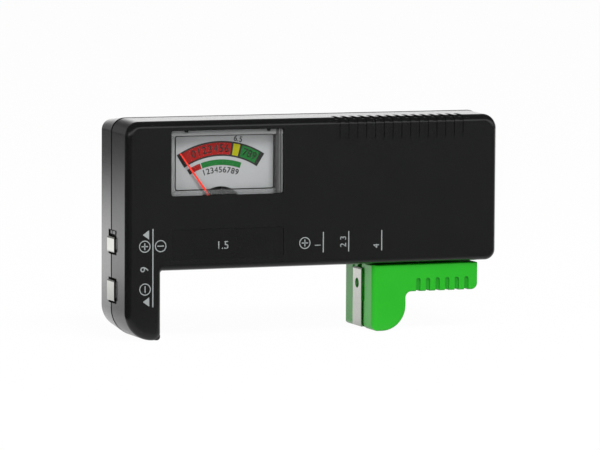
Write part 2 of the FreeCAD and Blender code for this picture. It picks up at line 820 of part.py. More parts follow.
def pointer():
    """Needle on a hub behind the bridge, cranked forward through the cutout to run over the dial."""
    arm_y1 = dial_y - pointer_gap
    arm_y0 = arm_y1 - pointer_t
    hub_back = hub_y + hub_t
    crank_end = pointer_crank + pointer_crank_l
    hub = rod(hub_r, pivot_x, pivot_z, hub_y, hub_back)
    half = pointer_w / 2
    tip = pointer_tip_w / 2
    outline = [
        Vector(pivot_x - half, arm_y0, pivot_z + pointer_crank),
        Vector(pivot_x + half, arm_y0, pivot_z + pointer_crank),
        Vector(pivot_x + tip, arm_y0, pivot_z + pointer_l),
        Vector(pivot_x - tip, arm_y0, pivot_z + pointer_l),
    ]
    needle = Part.Face(Part.makePolygon(outline + outline[:1])).extrude(Vector(0, pointer_t, 0))
    pieces = [
        block(pivot_x - half, pivot_x + half, hub_y, hub_back, pivot_z - pointer_tail, pivot_z + crank_end),
        block(pivot_x - half, pivot_x + half, arm_y0, hub_back, pivot_z + pointer_crank, pivot_z + crank_end),
        needle,
    ]
    solid = hub.fuse(pieces).cut(rod(staff_r + fit / 2, pivot_x, pivot_z, hub_y - fit, hub_back + fit))
    return at_rest_angle(solid.removeSplitter())


def meter_terminals():
    pins = [rod(terminal_r, x, z, base_floor - fit, board_y) for x, z in terminals_at]
    return Part.makeCompound(pins)


def circuit_board():
    board = block(board_x0, board_x1, board_y, board_back, board_z0, board_z1)
    holes = [rod(board_screw_r + fit, x, z, board_y - fit, board_back + fit) for x, z in board_screws_at]
    return board.cut(holes)


def load_resistors():
    """Axial resistors lying on the board, each lead bent down to it."""
    solids = []
    y = board_y - resistor_r - fit
    span = resistor_l / 2 + resistor_lead_l
    for i in range(resistor_count):
        x = board_x0 + resistor_x
        z = board_z0 + resistor_z + i * resistor_pitch
        body = Part.makeCylinder(resistor_r, resistor_l, Vector(x - resistor_l / 2, y, z), Vector(1, 0, 0))
        wire = Part.makeCylinder(resistor_lead_r, 2 * span, Vector(x - span, y, z), Vector(1, 0, 0))
        body = body.fuse(wire)
        for end in (x - span, x + span):
            body = body.fuse(Part.makeSphere(resistor_lead_r, Vector(end, y, z)))
            body = body.fuse(rod(resistor_lead_r, end, z, y, board_y))
        solids.append(body.removeSplitter())
    return Part.makeCompound(solids)


def lead(points):
    """Hook-up wire along straight runs joined by tangent arcs."""
    edges = []
    last = Vector(*points[0])
    for i in range(1, len(points) - 1):
        here = Vector(*points[i])
        before = Vector(*points[i - 1]) - here
        after = Vector(*points[i + 1]) - here
        room = 0.45 * min(before.Length, after.Length)
        before.normalize()
        after.normalize()
        half = before.getAngle(after) / 2
        radius = room * math.tan(half)
        inward = before + after
        inward.normalize()
        start = here + before * room
        stop = here + after * room
        middle = here + inward * (radius / math.sin(half) - radius)
        edges.append(Part.LineSegment(last, start).toShape())
        edges.append(Part.Arc(start, middle, stop).toShape())
        last = stop
    edges.append(Part.LineSegment(last, Vector(*points[-1])).toShape())
    path = Part.Wire(edges)
    along = Vector(*points[1]) - Vector(*points[0])
    ring = Part.Wire(Part.makeCircle(lead_r, Vector(*points[0]), along))
    return path.makePipeShell([ring], True, False)


def lead_9v_positive():
    z = snap_at[0] + contact_heights[0] / 2 - contact_t / 2
    x = board_x0 + 3.5
    end_z = board_z0 + 11.5
    return lead([(left + contact_reach, 0, z), (left + contact_reach + 3.2, 0, z),
                 (left + 8.6, board_y - 2.0, z + 4.4), (x, board_y - 2.4, end_z - 3.0),
                 (x, board_y - 2.2, end_z), (x, board_y, end_z)])


def lead_9v_negative():
    z = snap_at[1] + contact_heights[1] / 2 - contact_t / 2
    x = board_x0 + 1.6
    end_z = board_z0 + 17.0
    return lead([(left + contact_reach, 0, z), (left + contact_reach + 2.0, 0, z),
                 (left + 5.5, 3.6, z + 5.0), (left + 5.6, 5.2, z + 14.0),
                 (left + 10.0, board_y - 1.6, end_z - 5.0), (x, board_y - 2.2, end_z),
                 (x, board_y, end_z)])


def lead_1v5_negative():
    top = leg_contact_z + leg_contact_h
    x = board_x0 + 5.0
    end_z = board_z0 + 4.6
    tag_x = leg_in - leg_contact_reach
    return lead([(tag_x, 0, top), (tag_x, 0, top + 5.0),
                 (leg_in - 0.9, 4.2, top + 8.6), (x - 6.0, board_y - 1.8, end_z - 0.6),
                 (x, board_y - 2.2, end_z), (x, board_y, end_z)])


def lead_rail():
    x = slot_x0 - rail_over + 0.9
    y = rail_y + rail_w / 2
    end_x = board_x0 + 3.0
    end_z = board_z0 + 1.6
    return lead([(x, y, floor_z + rail_t), (x, y, floor_z + rail_t + 2.6),
                 (x + 0.7, board_y - 2.0, end_z - 1.2), (end_x, board_y - 2.2, end_z),
                 (end_x, board_y, end_z)])


def board_screws():
    return headed_screws(board_screws_at, board_screw_r, board_screw_head_r, board_screw_head_h,
                         board_y, board_screw_bite, board_t)


def dial_screws():
    return headed_screws(dial_screws_at, small_screw_r, small_screw_head_r, small_screw_head_h,
                         dial_y, small_screw_bite, dial_t)


def bridge_screws():
    return headed_screws(bridge_screws_at, small_screw_r, small_screw_head_r, small_screw_head_h,
                         bridge_y, small_screw_bite, bridge_t)


pieces = {
    "front_cover": front_cover(),
    "rear_cover": rear_cover(),
    "case_screws": case_screws(),
    "positive_contact_9v": side_contact(snap_at[0], contact_heights[0]),
    "negative_contact_9v": side_contact(snap_at[1], contact_heights[1]),
    "negative_contact_1v5": negative_contact_1v5(),
    "meter_window": meter_window(),
    "meter_base": meter_base(),
    "meter_screws": meter_screws(),
    "dial_plate": dial_plate(),
    "dial_screws": dial_screws(),
    "meter_bridge": meter_bridge(),
    "bridge_screws": bridge_screws(),
    "jewel_screws": jewel_screws(),
    "yoke_ring": yoke_ring(),
    "magnet_core": magnet_core(),
    "core_bracket": core_bracket(),
    "moving_coil": moving_coil(),
    "pivot_staffs": pivot_staffs(),
    "hairsprings": hairsprings(),
    "pointer": pointer(),
    "meter_terminals": meter_terminals(),
    "circuit_board": circuit_board(),
    "board_screws": board_screws(),
    "load_resistors": load_resistors(),
    "lead_9v_positive": lead_9v_positive(),
    "lead_9v_negative": lead_9v_negative(),
    "lead_1v5_negative": lead_1v5_negative(),
    "lead_rail": lead_rail(),
    "contact_rail": contact_rail(),
    "slider_body": slider_body(),
    "slider_contact": slider_contact(),
    "slider_runner": slider_runner(),
    "slider_screws": slider_screws(),
    "wiper_spring": wiper_spring(),
}

os.makedirs("parts", exist_ok=True)
for name, shape in pieces.items():
    shape.exportStep("parts/" + name + ".step")
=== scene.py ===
import math

import bpy
from mathutils import Matrix, Vector


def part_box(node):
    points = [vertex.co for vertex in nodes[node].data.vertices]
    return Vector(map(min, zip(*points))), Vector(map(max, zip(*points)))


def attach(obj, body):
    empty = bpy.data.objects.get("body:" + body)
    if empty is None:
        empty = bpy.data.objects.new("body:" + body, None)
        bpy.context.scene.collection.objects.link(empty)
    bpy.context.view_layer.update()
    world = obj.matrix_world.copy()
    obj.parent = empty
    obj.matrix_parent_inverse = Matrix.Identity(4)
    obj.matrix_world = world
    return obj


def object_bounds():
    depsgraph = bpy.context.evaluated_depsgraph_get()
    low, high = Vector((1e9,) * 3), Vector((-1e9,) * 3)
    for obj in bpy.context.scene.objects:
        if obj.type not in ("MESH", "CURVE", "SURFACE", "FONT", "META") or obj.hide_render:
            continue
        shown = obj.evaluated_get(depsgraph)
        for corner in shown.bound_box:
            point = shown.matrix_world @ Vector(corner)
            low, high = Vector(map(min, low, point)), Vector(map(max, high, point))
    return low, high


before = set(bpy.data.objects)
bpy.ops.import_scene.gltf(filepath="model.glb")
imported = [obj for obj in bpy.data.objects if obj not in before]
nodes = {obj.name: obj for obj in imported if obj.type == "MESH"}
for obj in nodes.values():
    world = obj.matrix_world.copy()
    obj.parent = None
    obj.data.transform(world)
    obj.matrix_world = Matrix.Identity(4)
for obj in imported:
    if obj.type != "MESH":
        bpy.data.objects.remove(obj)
cad_lo, cad_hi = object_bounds()


# Camera: a long lens in front of the tester, a little above it and to its left,
# so that the left side with its two contacts shows as well as the front.
mm = 0.001
photo_width_px = 600
focal_px = 4655.82
sensor_mm = 36.0
near_clip, far_clip = 0.05, 60.0
view_from = Vector((-466.677, -1207.962, 152.662)) * mm
view_to = Vector((0.4961, 0.0, 29.408)) * mm
view_roll = math.radians(0.289)

camera_data = bpy.data.cameras.new("photo_camera")
camera_data.sensor_fit = "HORIZONTAL"
camera_data.sensor_width = sensor_mm
camera_data.lens = focal_px * sensor_mm / photo_width_px
camera_data.clip_start = near_clip
camera_data.clip_end = far_clip
camera = bpy.data.objects.new("photo_camera", camera_data)
bpy.context.collection.objects.link(camera)
forward = (view_to - view_from).normalized()
level = forward.cross(Vector((0, 0, 1))).normalized()
upright = level.cross(forward)
across = math.cos(view_roll) * level + math.sin(view_roll) * upright
upward = -math.sin(view_roll) * level + math.cos(view_roll) * upright
turn = Matrix((across, upward, -forward)).transposed().to_4x4()
camera.matrix_world = Matrix.Translation(view_from) @ turn
bpy.context.scene.camera = camera


# Stage: a white table that runs back to the horizon under soft light from above and from the left.
# The camera sees it white, and gloss sees it bright behind the tester and dim on the camera's side.
class Wire:
    """A value on its way through a node tree; sums on it add Math nodes."""

    def __init__(self, tree, socket=None):
        self.tree = tree
        self.socket = socket

    def node(self, kind, settings=None, inputs=None, out=0):
        made = self.tree.nodes.new(kind)
        for name, value in (settings or {}).items():
            setattr(made, name, value)
        for key, value in (inputs or {}).items():
            if isinstance(value, Wire):
                self.tree.links.new(value.socket, made.inputs[key])
            else:
                made.inputs[key].default_value = value
        return Wire(self.tree, made.outputs[out]) if made.outputs else None

    def math(self, operation, a, b):
        return self.node("ShaderNodeMath", {"operation": operation}, {0: a, 1: b})

    def __add__(self, other):
        return self.math("ADD", self, other)

    def __mul__(self, other):
        return self.math("MULTIPLY", self, other)

    def __sub__(self, other):
        return self.math("SUBTRACT", self, other)

    def __rsub__(self, other):
        return self.math("SUBTRACT", other, self)

    def __truediv__(self, other):
        return self.math("DIVIDE", self, other)

    __radd__ = __add__
    __rmul__ = __mul__


def ramp(wire, value, start, end, low=0.0, high=1.0):
    """A smooth climb from low at start to high at end."""
    return wire.node("ShaderNodeMapRange", {"interpolation_type": "SMOOTHSTEP"},
                     {"Value": value, "From Min": start, "From Max": end, "To Min": low, "To Max": high})


def split(wire, vector, axes="XYZ"):
    """The parts of a vector along the axes named."""
    return (wire.node("ShaderNodeSeparateXYZ", inputs={0: vector}, out=axis) for axis in axes)


def ray_kinds(wire):
    """1 for a ray from the camera, also through glass, and 1 for a ray off gloss."""
    straight = wire.node("ShaderNodeLightPath", out="Is Camera Ray")
    through = wire.node("ShaderNodeLightPath", out="Is Transmission Ray")
    return wire.math("MAXIMUM", straight, through), wire.node("ShaderNodeLightPath", out="Is Glossy Ray")


bpy.context.scene.view_settings.view_transform = "Standard"

# What gloss finds in the sky, by the direction it looks in: a bright back and a band ahead
white = (1, 1, 1, 1)
ambient_level = 0.40
gloss_dim, gloss_band, gloss_back = 0.03, 0.72, 1.0
back_fade = (0.1, 0.8)
back_side_fade, back_left_share = (-0.1, 0.3), 0.15
back_top_fade, back_top_share = (0.2, 0.45), 0.1
band_fade = (0.0, -0.5)
band_foot, band_head = (-0.01, 0.13), (0.46, 0.16)

world = bpy.data.worlds.new("studio")
bpy.context.scene.world = world
world.use_nodes = True
world.node_tree.nodes.clear()
sky = Wire(world.node_tree)
seen, glossy = ray_kinds(sky)
right, back, up = split(sky, sky.node("ShaderNodeTexCoord", out="Generated"))
behind = ramp(sky, back, *back_fade)
behind = behind * ramp(sky, right, *back_side_fade, back_left_share, 1.0)
behind = behind * ramp(sky, up, *back_top_fade, 1.0, back_top_share)
ahead = ramp(sky, back, *band_fade) * ramp(sky, up, *band_foot) * ramp(sky, up, *band_head)
shine = gloss_dim + gloss_back * behind + gloss_band * ahead
strength = seen + (1 - seen) * (glossy * shine + (1 - glossy) * ambient_level)
backdrop = sky.node("ShaderNodeBackground", inputs={"Color": white, "Strength": strength})
sky.node("ShaderNodeOutputWorld", inputs={"Surface": backdrop})

# What gloss finds on the table, in metres: it dims with depth, close to the tester, to its left and in front
floor_size = 14.0
floor_drop = 0.05 * mm
floor_tone = (0.8, 0.8, 0.8, 1)
floor_glow_share = 0.97
depth_fade, near_level, far_level = (0.26, 0.66), 0.9, 0.08
close_fade, close_side_fade, close_levels = (0.03, 0.2), (-0.10, -0.04), (0.38, 0.8)
lean_fade, lean_level, least_depth = (0.42, 0.72), 0.06, 0.02
front_fade, front_side_fade, front_levels = (-0.05, 0.03), (-0.25, -0.06), (0.02, 0.15)

bpy.ops.object.select_all(action="DESELECT")
bpy.ops.mesh.primitive_plane_add(size=floor_size, location=(0, 0, -floor_drop))
floor = bpy.context.object
floor.name = "table"
table_paint = bpy.data.materials.new("table_white")
table_paint.use_nodes = True
table_paint.node_tree.nodes.clear()
table = Wire(table_paint.node_tree)
seen, glossy = ray_kinds(table)
sideways, depth = split(table, table.node("ShaderNodeTexCoord", out="Object"), "XY")
close = ramp(table, sideways, *close_side_fade, *close_levels)
lean = (cad_lo.x - sideways) / table.math("MAXIMUM", depth, least_depth)
near = ramp(table, depth, *depth_fade, near_level, far_level)
near = near * ramp(table, depth, *close_fade, close, 1.0) * ramp(table, lean, *lean_fade, 1.0, lean_level)
front = ramp(table, depth, *front_fade, ramp(table, sideways, *front_side_fade, *front_levels), 1.0)
glow = table.node("ShaderNodeEmission", inputs={"Color": white, "Strength": seen + (1 - seen) * near * front})
matt = table.node("ShaderNodeBsdfDiffuse", inputs={"Color": floor_tone})
share = seen * floor_glow_share + (1 - seen) * glossy
surface = table.node("ShaderNodeMixShader", inputs={0: share, 1: matt, 2: glow})
table.node("ShaderNodeOutputMaterial", inputs={"Surface": surface})
floor.data.materials.append(table_paint)

lamp_aim = Vector((0, 0, 0.03))


def soft_lamp(name, place, width, height, watts):
    data = bpy.data.lights.new(name, "AREA")
    data.shape = "RECTANGLE"
    data.size = width
    data.size_y = height
    data.energy = watts
    lamp = bpy.data.objects.new(name, data)
    bpy.context.collection.objects.link(lamp)
    lamp.visible_glossy = False
    lamp.location = place
    lamp.rotation_euler = (lamp_aim - Vector(place)).to_track_quat("-Z", "Y").to_euler()


soft_lamp("top_softbox", place=(0.1, -0.75, 1.05), width=0.6, height=0.4, watts=15.5)
soft_lamp("left_fill", place=(-1.15, -0.5, 0.25), width=0.6, height=0.4, watts=6.0)


# Covers: two black half shells of moulded ABS, set edge to edge and screwed together from behind.
# The skin is satin with a fine spark-eroded grain, a little uneven where the plastic flowed,
# and it is duller in the groove between the shells and on the shallow panel.
def make_finish(name, vary, **fixed):
    """A material whose Principled inputs are the fixed ones and those that vary gives."""
    finish = bpy.data.materials.new(name)
    finish.use_nodes = True
    finish.node_tree.nodes.clear()
    wire = Wire(finish.node_tree)
    inputs = {key.replace("_", " "): value for key, value in fixed.items()}
    inputs.update(vary(wire))
    shader = wire.node("ShaderNodeBsdfPrincipled", inputs=inputs)
    wire.node("ShaderNodeOutputMaterial", inputs={"Surface": shader})
    return finish


def dress(finish, *names):
    """Put a finish on the CAD nodes named."""
    for name in names:
        for slot in nodes[name].material_slots:
            slot.material = finish


def place_on(wire):
    """Where a point lies on its piece."""
    return wire.node("ShaderNodeTexCoord", out="Object")


def noise(wire, grain, detail=2.0, stretch=(1, 1, 1)):
    """Noise with patches about as large as grain, from 0 to 1."""
    at = wire.node("ShaderNodeMapping", inputs={"Vector": place_on(wire), "Scale": stretch})
    return wire.node("ShaderNodeTexNoise", inputs={"Vector": at, "Scale": 1 / grain, "Detail": detail})


def mix_colours(wire, share, first, second):
    return wire.node("ShaderNodeMix", {"data_type": "RGBA"},
                     {"Factor": share, "A": first, "B": second}, out=2)


def blend_colours(wire, share, dark, light):
    return mix_colours(wire, share, (*dark, 1), (*light, 1))


def relief(wire, height, depth, strength=1.0):
    return wire.node("ShaderNodeBump", inputs={"Height": height, "Distance": depth, "Strength": strength})


def rises(wire, value, at, over):
    """0 before a place and 1 after it, in millimetres."""
    return ramp(wire, value, (at - over / 2) * mm, (at + over / 2) * mm)


def between(wire, value, start, end, over):
    """1 between two places and 0 elsewhere, in millimetres."""
    return rises(wire, value, start, over) * (1 - rises(wire, value, end, over))


seam_y0, seam_y1 = 0.03, 0.6
panel_x0, panel_x1, panel_z0, panel_z1, panel_back = -41.87, -9.14, 22.03, 30.38, -11.0
sharp_fade, panel_back_fade = 0.05, 0.5
cover_dark, cover_light = (0.0044, 0.0046, 0.0045), (0.0058, 0.0061, 0.0059)
cover_rough, flow_rough, grain_rough, seam_rough, panel_rough = 0.16, 0.05, 0.05, 0.5, 0.08
cover_coat, seam_coat_loss, panel_coat_loss = 0.75, 0.75, 0.65


def satin_black(wire):
    flow = noise(wire, grain=9 * mm)
    grain = noise(wire, grain=0.5 * mm, detail=3.0)
    x, y, z = split(wire, place_on(wire))
    seam = between(wire, y, seam_y0, seam_y1, sharp_fade)
    panel = between(wire, x, panel_x0, panel_x1, sharp_fade)
    panel = panel * between(wire, z, panel_z0, panel_z1, sharp_fade)
    panel = panel * (1 - rises(wire, y, panel_back, panel_back_fade))
    return {
        "Base Color": blend_colours(wire, flow, cover_dark, cover_light),
        "Roughness": (cover_rough + flow_rough * flow + grain_rough * grain + seam_rough * seam
                      + panel_rough * panel),
        "Coat Weight": cover_coat - seam_coat_loss * seam - panel_coat_loss * panel,
        "Normal": relief(wire, grain, depth=0.035 * mm),
    }


dress(make_finish("satin_black_abs", satin_black, IOR=1.52, Coat_Roughness=0.11), "front_cover", "rear_cover")


# Front print: light-grey screen ink on the front cover, a few hundredths thick.
# Signs show which way a battery goes, and three lines with numbers where the slider stands for each size.
# Places on the front are in millimetres, x to the right and z up.
ink_h = 0.03 * mm
merge_gap = 0.001 * mm
panel_deep = 0.2 * mm
front_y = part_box("front_cover")[0].y
panel_y = front_y + panel_deep
stroke = 0.30
sign_r, sign_ring, sign_arm, ring_sides = 1.66, 0.26, 0.95, 56
bar_ease_share, ease_steps = 0.15, 2
side_plus, side_minus = (-49.76, 26.08), (-49.66, 14.29)
bay_plus, bay_minus = (-2.87, 25.64), (-45.17, 26.09)
side_line = (-47.41, 20.09)
side_line_w, side_line_h = 0.32, 21.5
arrow_tips = (-50.36, 29.26), (-50.30, 10.85)
arrow_l, arrow_h, arrow_ease = 1.85, 2.6, 0.1
side_number, side_number_h = (-49.72, 19.75), 2.3
size_lines = (2.61, "1", 24.9), (10.18, "2 3", 25.7), (20.08, "4", 24.2)
size_line_z, size_line_w, size_line_h = 25.72, 0.3, 5.7
size_number_in, size_number_h = 1.55, 1.75
panel_number, panel_number_h = (-27.05, 25.66), 2.15
plain_weight = 0.01
quarter_turn = math.radians(90)
# A three-cornered disc of radius 1 is this long and this high
triangle_l, triangle_h = 1.5, math.sqrt(3)
# Height of a number as a share of the font's size
cap_share = 0.69


def deselect():
    bpy.ops.object.select_all(action="DESELECT")


def flat_sheet(width, height):
    """A flat rectangle of ink, left in edit mode with everything selected."""
    deselect()
    bpy.ops.mesh.primitive_plane_add(size=1, location=(0, 0, 0))
    bpy.ops.object.mode_set(mode="EDIT")
    bpy.ops.transform.resize(value=(width * mm, height * mm, 1))
    return bpy.context.object


def hollow(width):
    """Take the inside out of the faces being edited, so that a line this wide stays."""
    bpy.ops.mesh.select_mode(type="FACE")
    bpy.ops.mesh.select_all(action="SELECT")
    bpy.ops.mesh.inset(thickness=width * mm)
    bpy.ops.mesh.delete(type="FACE")
    bpy.ops.mesh.select_all(action="SELECT")


def set_down(x, z):
    """Move what is being edited to its place and leave edit mode."""
    bpy.ops.transform.translate(value=(x * mm, z * mm, 0))
    bpy.ops.object.mode_set(mode="OBJECT")


def ink_bar(x, z, width, height):
    """A bar of ink: a plane cut to size, its corners rounded by a bevel."""
    bar = flat_sheet(width, height)
    ease = bar_ease_share * min(width, height) * mm
    bpy.ops.mesh.bevel(offset=ease, segments=ease_steps, affect="VERTICES")
    set_down(x, z)
    return bar


def ink_ring(x, z, outer, width):
    """A ring of ink: a filled circle with its inside inset and taken out."""
    deselect()
    bpy.ops.mesh.primitive_circle_add(vertices=ring_sides, radius=outer * mm, fill_type="NGON",
                                      location=(0, 0, 0))
    ring = bpy.context.object
    bpy.ops.object.mode_set(mode="EDIT")
    hollow(width)
    set_down(x, z)
    return ring


def ink_arrow(tip_x, tip_z):
    """A solid arrowhead that points left, with its corners eased."""
    deselect()
    bpy.ops.mesh.primitive_circle_add(vertices=3, radius=1, fill_type="NGON", location=(0, 0, 0))
    arrow = bpy.context.object
    bpy.ops.object.mode_set(mode="EDIT")
    bpy.ops.transform.rotate(value=-quarter_turn, orient_axis="Z", center_override=(0, 0, 0))
    bpy.ops.transform.resize(value=(arrow_l / triangle_l * mm, arrow_h / triangle_h * mm, 1),
                             center_override=(0, 0, 0))
    bpy.ops.mesh.bevel(offset=arrow_ease * mm, segments=ease_steps, affect="VERTICES")
    set_down(tip_x + arrow_l / triangle_l, tip_z)
    return arrow


def ink_number(words, x, z, cap_height, turn=0.0, weight=plain_weight):
    """A number set flat and made a mesh, with its middle at x, z and its strokes widened by weight.
    The font's 4 fills up when it is widened, so it stays as it is."""
    deselect()
    bpy.ops.object.text_add(location=(0, 0, 0))
    number = bpy.context.object
    number.data.body = words
    number.data.align_x = "CENTER"
    number.data.align_y = "CENTER"
    number.data.size = cap_height / cap_share * mm
    number.data.offset = 0 if "4" in words else weight * mm
    bpy.ops.object.convert(target="MESH")
    number.rotation_euler = (0, 0, turn)
    number.location = (x * mm, z * mm, 0)
    bpy.ops.object.transform_apply(location=True, rotation=True, scale=True)
    return number


def print_on(name, marks, y, finish, ink=ink_h, body="housing"):
    """Join flat marks into one layer of ink, give it its thickness and stand it on the face at y."""
    deselect()
    for mark in marks:
        mark.select_set(True)
    bpy.context.view_layer.objects.active = marks[0]
    if len(marks) > 1:
        bpy.ops.object.join()
    layer = bpy.context.object
    layer.name = name
    layer.data.name = name
    bpy.ops.object.mode_set(mode="EDIT")
    bpy.ops.mesh.select_mode(type="FACE")
    bpy.ops.mesh.select_all(action="SELECT")
    bpy.ops.mesh.remove_doubles(threshold=merge_gap)
    bpy.ops.mesh.normals_make_consistent(inside=False)
    bpy.ops.object.mode_set(mode="OBJECT")
    thick = layer.modifiers.new("ink", "SOLIDIFY")
    thick.thickness = ink
    thick.offset = 0.0
    bpy.ops.object.modifier_apply(modifier=thick.name)
    layer.rotation_euler = (quarter_turn, 0, 0)
    layer.location = (0, y - ink / 2, 0)
    bpy.ops.object.transform_apply(location=True, rotation=True, scale=True)
    layer.data.materials.clear()
    layer.data.materials.append(finish)
    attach(layer, body)


def plus_sign(x, z):
    return [ink_ring(x, z, sign_r, sign_ring), ink_bar(x, z, 2 * sign_arm, stroke),
            ink_bar(x, z, stroke, 2 * sign_arm)]


def minus_sign(x, z, upright):
    size = (stroke, 2 * sign_arm) if upright else (2 * sign_arm, stroke)
    return [ink_ring(x, z, sign_r, sign_ring), ink_bar(x, z, *size)]


def mottled(name, patch, dark, light, roughness, bump, strength, detail=2.0, stretch=(1, 1, 1), **fixed):
    """A finish in patches between two colours; the lighter they are, the rougher and the higher."""
    smooth, rough = roughness

    def vary(wire):
        share = noise(wire, patch, detail, stretch)
        return {
            "Base Color": blend_colours(wire, share, dark, light),
            "Roughness": smooth + (rough - smooth) * share,
            "Normal": relief(wire, share, bump, strength),
        }
    return make_finish(name, vary, **fixed)


grey_ink = mottled("grey_screen_ink", patch=0.5 * mm, detail=3.0, dark=(0.235, 0.255, 0.255),
                   light=(0.295, 0.32, 0.32), roughness=(0.5, 0.6), bump=0.003 * mm, strength=0.4, IOR=1.48)

side_marks = [ink_bar(*side_line, side_line_w, side_line_h)]
side_marks += plus_sign(*side_plus)
side_marks += minus_sign(*side_minus, True)
side_marks += minus_sign(*bay_minus, False)
side_marks += [ink_arrow(*tip) for tip in arrow_tips]
side_marks += [ink_number("9", *side_number, side_number_h, quarter_turn)]
print_on("side_battery_marks", side_marks, front_y, grey_ink)

bay_marks = plus_sign(*bay_plus)
for line_x, words, words_z in size_lines:
    bay_marks.append(ink_bar(line_x, size_line_z, size_line_w, size_line_h))
    bay_marks.append(ink_number(words, line_x - size_number_in, words_z, size_number_h, quarter_turn))
print_on("slider_marks", bay_marks, front_y, grey_ink)

print_on("panel_number", [ink_number("1.5", *panel_number, panel_number_h)], panel_y, grey_ink)


# Dial: a thin aluminium plate sprayed light grey, printed with two coloured arcs and their numbers.
# The ink lies in layers: the black outline first, then the colours, then the numbers.
# Radii are in millimetres from the arcs' middle, and angles in degrees clockwise from straight up.
dress(mottled("dial_grey_paint", patch=0.6 * mm, detail=3.0, dark=(0.328, 0.337, 0.342),
              light=(0.373, 0.382, 0.387), roughness=(0.55, 0.65), bump=0.004 * mm, strength=0.4, IOR=1.48),
      "dial_plate")

dial_ink_h = 0.02 * mm
outline_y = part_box("dial_plate")[0].y
colour_y = outline_y - dial_ink_h
number_y = colour_y - dial_ink_h
arc_x, arc_z = -26.76, 30.41
degrees_per_step, fewest_steps = 1.2, 3
outline_in, outline_out = 19.75, 23.9
colour_in, colour_out = 20.2, 23.45
low_in, low_out = 17.24, 18.8
outline_span = (-32.3, 32.7)
red_span, yellow_span, green_span = (-29.5, 8.0), (9.6, 14.5), (16.1, 29.5)
low_black_span, low_red_span, low_green_span = (-31.2, -28.3), (-28.3, -18.6), (-17.8, 19.2)
frame_x0, frame_x1, frame_z0, frame_z1 = -40.1, -10.9, 40.75, 56.05
frame_corner, frame_corner_steps, frame_line = 0.8, 5, 0.35
red_numbers, green_numbers, low_numbers, low_number_middle = range(7), range(7, 10), range(1, 10), 5
colour_number_r, colour_number_h = 21.8, 2.0
red_number_at, red_number_step, red_number_weight = -21.0, 4.3, 0.035
green_number_at, green_number_step = 19.2, 3.75
yellow_number_r, yellow_number_at, yellow_number_h = 24.85, 12.0, 1.5
low_number_r, low_number_step, low_number_h = 15.9, 4.4, 1.55
dial_weight = 0.02
ink_dark_share = 0.86


def ink_arc(inner, outer, start, end):
    """A band of ink: an edge of a plane set from inner to outer at the start, and spun to the end."""
    deselect()
    bpy.ops.mesh.primitive_plane_add(size=1, location=(0, 0, 0))
    band = bpy.context.object
    bpy.ops.object.mode_set(mode="EDIT")
    bpy.ops.mesh.select_mode(type="VERT")
    bpy.ops.mesh.select_all(action="DESELECT")
    bpy.ops.object.mode_set(mode="OBJECT")
    for v in band.data.vertices:
        v.select = v.co.x > 0
    bpy.ops.object.mode_set(mode="EDIT")
    bpy.ops.mesh.delete(type="VERT")
    bpy.ops.mesh.select_all(action="SELECT")
    # What is left, one unit long, stands up from the middle
    bpy.ops.transform.translate(value=(0.5, 0.5, 0))
    bpy.ops.transform.resize(value=(1, (outer - inner) * mm, 1), center_override=(0, 0, 0))
    bpy.ops.transform.translate(value=(0, inner * mm, 0))
    bpy.ops.transform.rotate(value=math.radians(start), orient_axis="Z", center_override=(0, 0, 0))
    steps = max(fewest_steps, int(abs(end - start) / degrees_per_step))
    bpy.ops.mesh.spin(steps=steps, angle=math.radians(end - start), center=(0, 0, 0), axis=(0, 0, 1))
    bpy.ops.mesh.select_all(action="SELECT")
    set_down(arc_x, arc_z)
    return band


def ink_frame(x0, x1, z0, z1, corner, width):
    """A thin line round a rectangle with round corners: a plane, inset, with its inside taken out."""
    line = flat_sheet(x1 - x0, z1 - z0)
    bpy.ops.mesh.bevel(offset=corner * mm, segments=frame_corner_steps, affect="VERTICES")
    hollow(width)
    set_down((x0 + x1) / 2, (z0 + z1) / 2)
    return line


def arc_number(words, radius, angle, height, weight=dial_weight):
    a = math.radians(angle)
    return ink_number(words, arc_x + radius * math.sin(a), arc_z + radius * math.cos(a), height, -a, weight)


def dial_ink(name, colour):
    darker = tuple(ink_dark_share * c for c in colour)
    return mottled(name, patch=0.25 * mm, detail=3.0, dark=darker, light=colour, roughness=(0.45, 0.55),
                   bump=0.002 * mm, strength=0.4, IOR=1.48, Specular_IOR_Level=0.15)


black_ink = dial_ink("black_dial_ink", (0.030, 0.030, 0.028))
red_ink = dial_ink("red_dial_ink", (0.285, 0.013, 0.011))
yellow_ink = dial_ink("yellow_dial_ink", (0.325, 0.325, 0.006))
green_ink = dial_ink("green_dial_ink", (0.014, 0.140, 0.029))

outline = [ink_arc(outline_in, outline_out, *outline_span), ink_arc(low_in, low_out, *low_black_span)]
# The thin black line round the dial's edge is painted shade, where the cap's step shows dark; it is laid in
# with the outline
outline.append(ink_frame(frame_x0, frame_x1, frame_z0, frame_z1, frame_corner, frame_line))
print_on("dial_outline", outline, outline_y, black_ink, dial_ink_h)
reds = [ink_arc(colour_in, colour_out, *red_span), ink_arc(low_in, low_out, *low_red_span)]
print_on("dial_red", reds, colour_y, red_ink, dial_ink_h)
print_on("dial_yellow", [ink_arc(colour_in, colour_out, *yellow_span)], colour_y, yellow_ink, dial_ink_h)
greens = [ink_arc(colour_in, colour_out, *green_span), ink_arc(low_in, low_out, *low_green_span)]
print_on("dial_green", greens, colour_y, green_ink, dial_ink_h)

